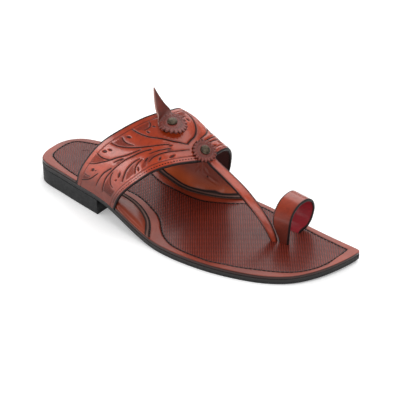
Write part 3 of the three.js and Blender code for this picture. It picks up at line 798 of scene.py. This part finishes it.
def footbed():
    count, columns = FOOTBED_MESH
    alongs = sole_alongs(count)
    cut = BAND_WALL + GAP - 0.2
    notch = [cut * window(alongs, BAND_CUT["back"][end], BAND_CUT["front"][end]) for end in (0, -1)]
    rings, under, over = slab(alongs, 0.3, footbed_bottom, footbed_top, 0.1, EDGE_ROUND, columns, notch)
    top = rings[:, under.shape[1]:]
    x, y = top[:, :, 0] + LENGTH / 2, top[:, :, 1]
    inside = seam_distance(x, y)
    nick = np.exp(-((to_line(np.stack([x.ravel(), y.ravel()], -1), NICK)[0] / 0.5) ** 2)).reshape(x.shape)
    groove = SEAM_DEPTH * np.exp(-((inside / 0.7) ** 2))
    top[:, :, 2] -= groove + FIELD_DEPTH * smoothstep(inside, 0, 1.2) + NICK_DEPTH * nick
    flat = np.zeros_like(under)
    marks = {
        "field": np.concatenate([flat, smoothstep(inside, 0.2, 1)], 1),
        "seam": np.concatenate([flat, np.maximum(np.exp(-((inside / 0.9) ** 2)), 0.8 * nick)], 1),
        "edge": there_and_back(flat + 1, 1 - smoothstep(over, 0.05, 0.7)),
    }
    piece("footbed_sheet", *loft(rings), FOOTBED, "footbed_leather", ["footbed"], marks)
    path = seam_path(0.8)
    line = xyz(path[:, 0], path[:, 1], footbed_top(path[:, 0]) - 0.25)
    stitches("footbed_stitches", line, np.tile([0.0, 0, 1], (len(line), 1)), **SEAM_STITCH)


# Instep band and its tooling
def to_line(q, line):
    """Distance of flat points to a line, and how far along it they lie."""
    start, step = line[:-1], np.diff(line, axis=0)
    rel = q[:, None] - start
    k = np.clip((rel * step).sum(-1) / (step * step).sum(-1), 0, 1)
    off = np.linalg.norm(rel - k[..., None] * step, axis=-1)
    best = off.argmin(1)
    pick = np.arange(len(q))
    return off[pick, best], (best + k[pick, best]) / len(step)


def within(q, corners):
    odd = np.zeros(len(q), bool)
    for (x0, y0), (x1, y1) in zip(corners, np.roll(corners, -1, axis=0)):
        spans = (y0 > q[:, 1]) != (y1 > q[:, 1])
        odd ^= spans & (q[:, 0] < (x1 - x0) * (q[:, 1] - y0) / ((y1 - y0) or 1e-9) + x0)
    return odd


def tooling(around, share):
    """Depth, dye and stippled ground of the tooling."""
    flat = np.where(around > CHART_MIDDLE, 2 * CHART_MIDDLE - around, around)
    q = np.stack([flat.ravel(), share.ravel() * CHART_WIDTH], -1)
    depth, dye, ground = (np.zeros(len(q)) for _ in range(3))
    scale = np.array([1, CHART_WIDTH])
    for cut in CUTS:
        path = np.array(cut["path"]) * scale
        line = through(path, 6 * len(path))
        near = np.flatnonzero(((q > line.min(0) - 5) & (q < line.max(0) + 5)).all(1))
        off, k = to_line(q[near], line)
        wide = cut["width"] * (0.45 + 0.55 * np.sin(np.pi * np.clip(k, 0.04, 0.96)) ** 0.5)
        groove = np.exp(-((off / (0.62 * wide)) ** 2))
        depth[near] = np.minimum(depth[near], -CUT_DEPTH * groove - CUT_SHOULDER * np.exp(-off / 1.6))
        stain = np.exp(-((off / (0.66 * wide)) ** 2)) + 0.4 * np.exp(-off / 1.9)
        dye[near] = np.maximum(dye[near], stain)
    for i in range(len(SLITS["round"])):
        slit = {key: column[i] for key, column in SLITS.items()}
        turn = math.radians(slit["turn"])
        off = q - np.array([slit["round"], slit["share"] * CHART_WIDTH])
        a = (off[:, 0] * math.cos(turn) + off[:, 1] * math.sin(turn)) * 2 / slit["length"]
        b = (off[:, 1] * math.cos(turn) - off[:, 0] * math.sin(turn)) * 2 / slit["width"]
        edge = np.abs(b) - (1 - a * a)
        hole = 1 - smoothstep(edge, -0.35, 0.25)
        depth = np.minimum(depth, -SLIT_DEPTH * hole)
        dye = np.maximum(dye, 0.9 * hole)
    for corners in WELLS:
        path = np.array(corners) * scale
        near = np.flatnonzero(((q > path.min(0) - 1) & (q < path.max(0) + 1)).all(1))
        off, _ = to_line(q[near], np.vstack([path, path[:1]]))
        fill = np.where(within(q[near], path), smoothstep(off, 0, 1.2), 0)
        ground[near] = np.maximum(ground[near], fill)
        depth[near] = np.minimum(depth[near], -WELL_DEPTH * fill)
    return (values.reshape(around.shape) for values in (depth, np.minimum(dye, 1), ground))


def strap_marks(dye, well, edge, edge_in):
    """Marks of a strap, on its shown face and on its lining."""
    plain = np.zeros_like(edge_in)
    return {
        "dye": there_and_back(dye, plain),
        "well": there_and_back(well, plain),
        "edge": there_and_back(edge, edge_in),
        "lining": there_and_back(np.zeros_like(edge), plain + 1),
    }


def band():
    count, columns = BAND_MESH
    around = np.linspace(0, BAND_ROUND, count)
    across = np.interp(around, round_fine, across_fine)[:, None]
    back, front = band_back(across), band_front(across)
    along = edge_places(back[:, 0], front[:, 0], columns)
    far_back, far_front = along - back, front - along
    share = far_back / (front - back)
    depth, dye, ground = tooling(np.broadcast_to(around[:, None], share.shape), share)
    back_line = share * CHART_WIDTH - BORDER_BACK
    front_line = (1 - share) * CHART_WIDTH - BORDER_FRONT
    for off, wide in ((back_line, 0.5), (front_line, 0.4)):
        groove = np.exp(-((off / wide) ** 2))
        depth = np.minimum(depth, -BORDER_DEPTH * groove)
        dye = np.maximum(dye, 0.75 * groove)
    # Painted shade: the band darkens towards its lateral foot, fully within 8 mm of it and fading out by 28
    # mm.
    dye = np.maximum(dye, 0.65 * (1 - smoothstep(around, 8, 28))[:, None])
    border = np.minimum(far_back / BORDER_BACK, far_front / BORDER_FRONT) < 0.95
    depth = np.where(border, np.maximum(depth, -BORDER_DEPTH), depth)
    brink = np.minimum(far_back, far_front)
    outer = over_last(across, along, BAND_WALL + depth - edge_drop(brink, EDGE_ROUND))
    inside = edge_places(back[:, 0], front[:, 0], LINING_COLUMNS)
    brink_in = np.minimum(inside - back, front - inside)
    inner = over_last(across, inside, edge_drop(brink_in, LINING_ROUND))
    edge = 1 - smoothstep(np.minimum(far_back - 0.6, far_front), 0.9, 1.9)
    marks = strap_marks(dye, ground, edge, 1 - smoothstep(brink_in, 0.9, 1.9))
    piece("band", *loft(there_and_back(outer, inner)), STRAP, "strap_leather", ["upper"], marks)
    here = np.interp(np.arange(6, BAND_ROUND - 6, 0.8), round_fine, across_fine)
    place = band_front(here) - STITCH_FRONT * (band_front(here) - band_back(here)) / CHART_WIDTH
    normal = last_tangents(here, place)[2]
    stitches("band_stitches", over_last(here, place, BAND_WALL), normal, **BAND_STITCH)


# Thong and toe loop
def thong():
    count, columns = THONG_MESH
    at = np.linspace(0, len(THONG["along"]) - 1, count)
    along, aside, height, width, twist = (smooth(THONG, name) for name in THONG)

    def middle(k):
        return xyz(along(k), aside(k), height(k))

    ahead = unit(middle(at + 0.05) - middle(at - 0.05))
    level = unit(np.cross([0, 0, 1], ahead))
    turn = np.radians(twist(at))[:, None]
    side = level * np.cos(turn) + np.cross(ahead, level) * np.sin(turn)
    normal = np.cross(ahead, side)
    half = width(at) / 2
    y = edge_places(-half, half, columns)
    brink = half[:, None] - np.abs(y)
    line = np.exp(-(((brink - THONG_LINE["inset"]) / THONG_LINE["half"]) ** 2))
    over = STRIP_WALL / 2 - edge_drop(brink, STRIP_ROUND) - THONG_LINE["depth"] * line
    under = -STRIP_WALL / 2 + edge_drop(brink, LINING_ROUND)

    def row(z):
        return middle(at)[:, None] + side[:, None] * y[..., None] + normal[:, None] * z[..., None]

    edge = 1 - smoothstep(brink, 0.4, 1.2)
    marks = strap_marks(0.5 * line, 0 * line, edge, edge)
    piece("thong", *loft(there_and_back(row(over), row(under))), STRAP, "strap_leather", (), marks)


def toe_loop():
    count, columns = LOOP_MESH
    at = np.linspace(0, len(LOOP["aside"]) - 1, count)
    aside, height, back, front = (smooth(LOOP, name) for name in LOOP)
    ahead = unit(np.stack([f(at + 0.05) - f(at - 0.05) for f in (aside, height)], -1))
    x = edge_places(back(at), front(at), columns)
    forward = (2 * x - (back(at) + front(at))[:, None]) / (front(at) - back(at))[:, None]
    brink = np.minimum(x - back(at)[:, None], front(at)[:, None] - x)
    flare = LOOP_FLARE * smoothstep(height(at), 9, 20)
    spread = 1 - flare[:, None] * forward

    def row(over):
        y = lerp(LOOP_HEART[0], aside(at)[:, None], spread) - over * ahead[:, 1:]
        z = lerp(LOOP_HEART[1], height(at)[:, None], spread) + over * ahead[:, :1]
        return xyz(x, y, z)

    outer = row(STRIP_WALL / 2 - edge_drop(brink, STRIP_ROUND))
    inner = row(-STRIP_WALL / 2 + edge_drop(brink, LINING_ROUND))
    edge = 1 - smoothstep(brink, 0.5, 1.4)
    # The whole loop is darkened by 0.3; painted shade adds up to 0.4 more towards its foot, fading out
    # between 12 and 34 mm up.
    low = 0 * brink + (0.3 + 0.4 * (1 - smoothstep(height(at), 12, 34)))[:, None]
    marks = strap_marks(low, 0 * brink, edge, edge)
    skin = loft(there_and_back(outer, inner))
    piece("toe_loop_strap", *skin, LOOP_STRAP, "strap_leather", ["toe_loop"], marks)


# Ears
def band_room(along, z):
    """Reach of the band's inner face to the medial side at a height."""
    up = np.clip((z - footbed_bottom(along)) / (ridge_height(along) - footbed_bottom(along)), 0, 1)
    rise = up ** (MEDIAL_FULLNESS / 2)
    out = np.sqrt(1 - rise * rise) ** (2 / MEDIAL_FULLNESS)
    return lerp(RIDGE_ASIDE, medial_reach(along) - BAND_WALL, out) - GAP


def creased(along, y, z):
    """Reach of the medial ear with its creases, kept inside the band."""
    for i in range(len(EAR_CREASES["along"])):
        crease = {key: column[i] for key, column in EAR_CREASES.items()}
        lean = math.radians(crease["turn"])
        ahead, up = along - crease["along"], z - crease["height"]
        run = (ahead * math.cos(lean) + up * math.sin(lean)) * 2 / crease["length"]
        off = up * math.cos(lean) - ahead * math.sin(lean)
        fold = np.sin(off * CREASE_WAVE) * np.exp(-((off / CREASE_SPREAD) ** 2))
        y = y - crease["depth"] * np.exp(-run * run) * fold
    return np.minimum(y, band_room(along, z))


def ear(name, rows, sign, reach, band_end, node, skin):
    """A padded ear: a stitched strip along its inner edge, then a face that climbs to the side."""
    count, columns = EAR_MESH
    inner, pillow, wall = (smooth(rows, key, "along") for key in ("inner", "pillow", "wall"))
    along = np.linspace(rows["along"][0], rows["along"][-1], count)[:, None]
    start = inner(along)
    clear = lerp(BAND_WALL + 0.4, 0.6, smoothstep(along, band_end - 2, band_end + 5))
    end = np.maximum(reach(along) - clear, start + 1)
    flange = np.minimum(EAR_FLANGE, (end - start) / 3)
    rim = np.minimum(EAR_RIM, (end - start) / 4)
    seat = footbed_top(along) + GAP
    turn = np.pi / 2 * np.linspace(0, 1, columns)[None]
    y_flat = start + flange * np.linspace(0, 1, EAR_FLANGE_COLUMNS + 1)[None, :-1]
    y_sweep = lerp(start + flange, end - rim, np.sin(turn))
    rise = pillow(along) * np.sin(2 * turn) + wall(along) * (1 - np.cos(turn))
    y = np.concatenate([y_flat, y_sweep, end], 1)
    z_flat = seat + EAR_EDGE + 0 * y_flat
    z = np.concatenate([z_flat, seat + EAR_EDGE + rise, seat + EAR_EDGE * 0.7 + wall(along)], 1)
    slope = inner(along + 0.5) - inner(along - 0.5)
    tilt = np.sqrt(1 + slope * slope)
    off = (y - start) / tilt
    trough = sum(np.exp(-(((off - line) / 0.55) ** 2)) for line in EAR_STITCHES)
    z = z - edge_drop(off, 0.6) - 0.3 * trough
    zero = np.zeros_like(y)
    hole = zero
    if sign > 0:
        y = creased(along, np.minimum(y, band_room(along, z)), z)
        away = np.hypot(along - EAR_HOLE["along"], z - EAR_HOLE["height"])
        hole = 1 - smoothstep(away, 0.6 * EAR_HOLE["radius"], EAR_HOLE["radius"])
    face = xyz(along, sign * y, z)
    under = xyz(along, sign * y, seat + zero)
    shown = {
        "strip": 1 - smoothstep(off, EAR_STRIP - 0.4, EAR_STRIP),
        # Painted sheen, growing with height on the pad.
        "height": smoothstep(z - seat, 4, 15),
        # Painted highlight: a thin pale line down the middle of the stitched strip.
        "pale": np.exp(-(((off - EAR_STRIP / 2) / 0.4) ** 2)),
        "dye": np.clip(0.9 * trough + hole, 0, 1),
    }
    marks = {key: there_and_back(values, zero) for key, values in shown.items()}
    made = piece(name, *loft(there_and_back(face, under)), skin, "ear_leather", [node], marks)
    for row, inset in zip(("inner", "outer"), EAR_STITCHES):
        x_line, y_line = (along - inset * slope / tilt)[:, 0], (start + inset / tilt)[:, 0]
        heights = [np.interp(b, y[i], z[i]) for i, b in enumerate(y_line)]
        line = xyz(x_line, sign * y_line, np.array(heights) + 0.1)[y_line < end[:, 0] - 1]
        line, _ = evenly(line, 0.7)
        up = np.tile([0.0, 0, 1], (len(line), 1))
        stitches(f"{name}_stitches_{row}", line, up, **EAR_STITCH)


# Rosettes, horn and rivets
def rosette(name, disc, replaces):
    angle = np.arange(ROSETTE_SIDES) * 2 * math.pi / ROSETTE_SIDES
    teeth = 0.5 - 0.5 * np.cos(ROSETTE_TEETH * angle)
    rim = ROSETTE_RADIUS - TOOTH_DEPTH * teeth ** 1.5
    share = np.array([0.02, 0.2, 0.36, 0.44, 0.5, 0.56, 0.62, 0.7, 0.78, 0.86, 0.93, 0.97, 1])
    radius = share[:, None] * rim
    ring = np.exp(-(((share - 0.6) / 0.035) ** 2))[:, None]
    valley = (teeth ** 3) * smoothstep(share, 0.7, 1)[:, None]
    drop = 0.3 * ring + 0.45 * valley + edge_drop((1 - share) * ROSETTE_RADIUS, 0.7)[:, None]
    over = GAP + ROSETTE_WALL - drop
    spots = radius * np.cos(angle), radius * np.sin(angle)
    top = on_disc(disc, *spots, over)
    low = on_disc(disc, *spots, GAP + 0 * over)
    rings = np.concatenate([low, top[::-1]], 0)
    dye = np.clip(0.6 * ring + 0.6 * valley + 0.3 * smoothstep(share, 0.9, 1)[:, None], 0, 1)
    dark = np.concatenate([0 * dye + 1, dye[::-1]], 0)
    piece(name, *loft(rings), TRIM, "trim_leather", replaces, {"dye": dark, "pale": 0 * dark})


def horn():
    at = np.linspace(0, len(HORN["along"]) - 1, HORN_RINGS)[:, None]
    along, height, half, wall = (smooth(HORN, name) for name in HORN)

    def middle(k):
        return xyz(along(k), HORN_ASIDE + 0 * k, height(k))

    rise = unit(middle(at + 0.05) - middle(at - 0.05))
    face = unit(np.cross([0, 1, 0], rise))
    free = smoothstep(at, 0.6, 2)[..., None]
    s = np.concatenate([[-1, -0.985, -0.95], np.linspace(-0.88, 0.88, 15), [0.95, 0.985, 1]])[None]
    brink = (1 - np.abs(s)) * half(at)

    def row(k):
        over = k * (wall(at) / 2 - np.minimum(edge_drop(brink, 0.5), wall(at) / 2.2))
        back = along(at) - ROSETTE_REAR["spot"][1] + 0 * s
        root = on_disc(ROSETTE_REAR, back, s * half(at), GAP + ROSETTE_WALL / 2 + over)
        risen = middle(at) + face * (HORN_CUP * half(at) * s * s + over)[..., None]
        risen[..., 1] += s * half(at)
        return lerp(root, risen, free)

    edge = 1 - smoothstep(brink, 0.1, 0.8)
    # Painted highlight along the horn's lateral edge and painted shade along its medial edge; the 0.3 floor
    # darkens the whole horn evenly.
    painted_highlight_edge = 0.5 * edge * (s < 0)
    shade = np.maximum(0.3, edge * (s > 0))
    marks = {"dye": there_and_back(shade, shade), "pale": there_and_back(painted_highlight_edge, painted_highlight_edge)}
    piece("horn", *loft(there_and_back(row(1), row(-1))), TRIM, "trim_leather", (), marks)


def rivet(name, disc, node):
    share = np.array([1, 1, 0.97, 0.9, 0.8, 0.68, 0.55, 0.4, 0.22, 0.03])
    rise = np.array([0, 0.3, 0.48, 0.66, 0.79, 0.88, 0.93, 0.97, 0.99, 1])
    angle = np.arange(RIVET_SIDES) * 2 * math.pi / RIVET_SIDES
    foot = on_disc(disc, 0.0, 0.0, 2 * GAP + ROSETTE_WALL)
    ahead = on_disc(disc, 1.0, 0.0, 0.0) - on_disc(disc, -1.0, 0.0, 0.0)
    normal = unit(np.cross(ahead, on_disc(disc, 0.0, 1.0, 0.0) - on_disc(disc, 0.0, -1.0, 0.0)))
    lean = np.array(Vector((0, 0, 1)).rotation_difference(Vector(normal)).to_matrix())
    radius = RIVET_RADIUS * share[:, None]
    axes = radius * np.cos(angle), radius * np.sin(angle), RIVET_HEIGHT * rise[:, None]
    cap = np.stack(np.broadcast_arrays(*axes), -1)
    piece(name, *loft(cap @ lean.T + foot), BRONZE, "bronze", [node])


outsole()
heel()
footbed()
band()
thong()
toe_loop()
lateral_end, medial_end = BAND_CUT["front"][0], BAND_CUT["front"][-1]
ear("ear_lateral_pad", EAR_LATERAL, -1, lateral_reach, lateral_end, "ear_lateral", EAR_LATERAL_SKIN)
ear("ear_medial_pad", EAR_MEDIAL, 1, medial_reach, medial_end, "ear_medial", EAR_MEDIAL_SKIN)
rosette("rosette_rear_disc", ROSETTE_REAR, ["rosette_horn"])
horn()
rosette("rosette_front_disc", ROSETTE_FRONT, ["rosette_front"])
rivet("rivet_rear_cap", ROSETTE_REAR, "rivet_rear")
rivet("rivet_front_cap", ROSETTE_FRONT, "rivet_front")


# Floor, light and camera
def floor():
    glow = {"Emission Color": WHITE, "Emission Strength": FLOOR_GLOW}
    look = Look("floor_white", {"Specular IOR Level": 0.1, **glow})
    shade = look.mottled(3, "fbfbfb", "f7f7f7")
    material = look.finish(shade, look.spread(40, 0.85, 0.95), look.bump(look.noise(300), 0.01))
    mesh = bpy.data.meshes.new("floor")
    corners = [(FLOOR_HALF * x, FLOOR_HALF * y, 0) for x, y in ((-1, -1), (1, -1), (1, 1), (-1, 1))]
    mesh.from_pydata(corners, [], [(0, 1, 2, 3)])
    mesh.materials.append(material)
    made = bpy.data.objects.new("floor", mesh)
    bpy.context.scene.collection.objects.link(made)


def area_light(name, place, aim, size, power):
    data = bpy.data.lights.new(name, "AREA")
    data.shape = "RECTANGLE"
    data.size, data.size_y = size
    data.energy = power
    made = bpy.data.objects.new(name, data)
    made.location = place
    made.rotation_euler = (Vector(aim) - Vector(place)).to_track_quat("-Z", "Y").to_euler()
    bpy.context.scene.collection.objects.link(made)


def world():
    made = bpy.data.worlds.new("studio")
    made.use_nodes = True
    back = made.node_tree.nodes["Background"]
    back.inputs["Color"].default_value = WHITE
    back.inputs["Strength"].default_value = WORLD_STRENGTH
    bpy.context.scene.world = made


def camera():
    data = bpy.data.cameras.new("camera")
    data.lens = CAMERA["lens"]
    data.sensor_width = CAMERA["sensor"]
    made = bpy.data.objects.new("camera", data)
    made.location = CAMERA["place"]
    aim = Vector(CAMERA["aim"]) - made.location
    made.rotation_euler = aim.to_track_quat("-Z", "Y").to_euler()
    bpy.context.scene.collection.objects.link(made)
    bpy.context.scene.camera = made


floor()
world()
for lamp, settings in LAMPS.items():
    area_light(lamp, **settings)
camera()
bpy.context.scene.view_settings.view_transform = "Standard"
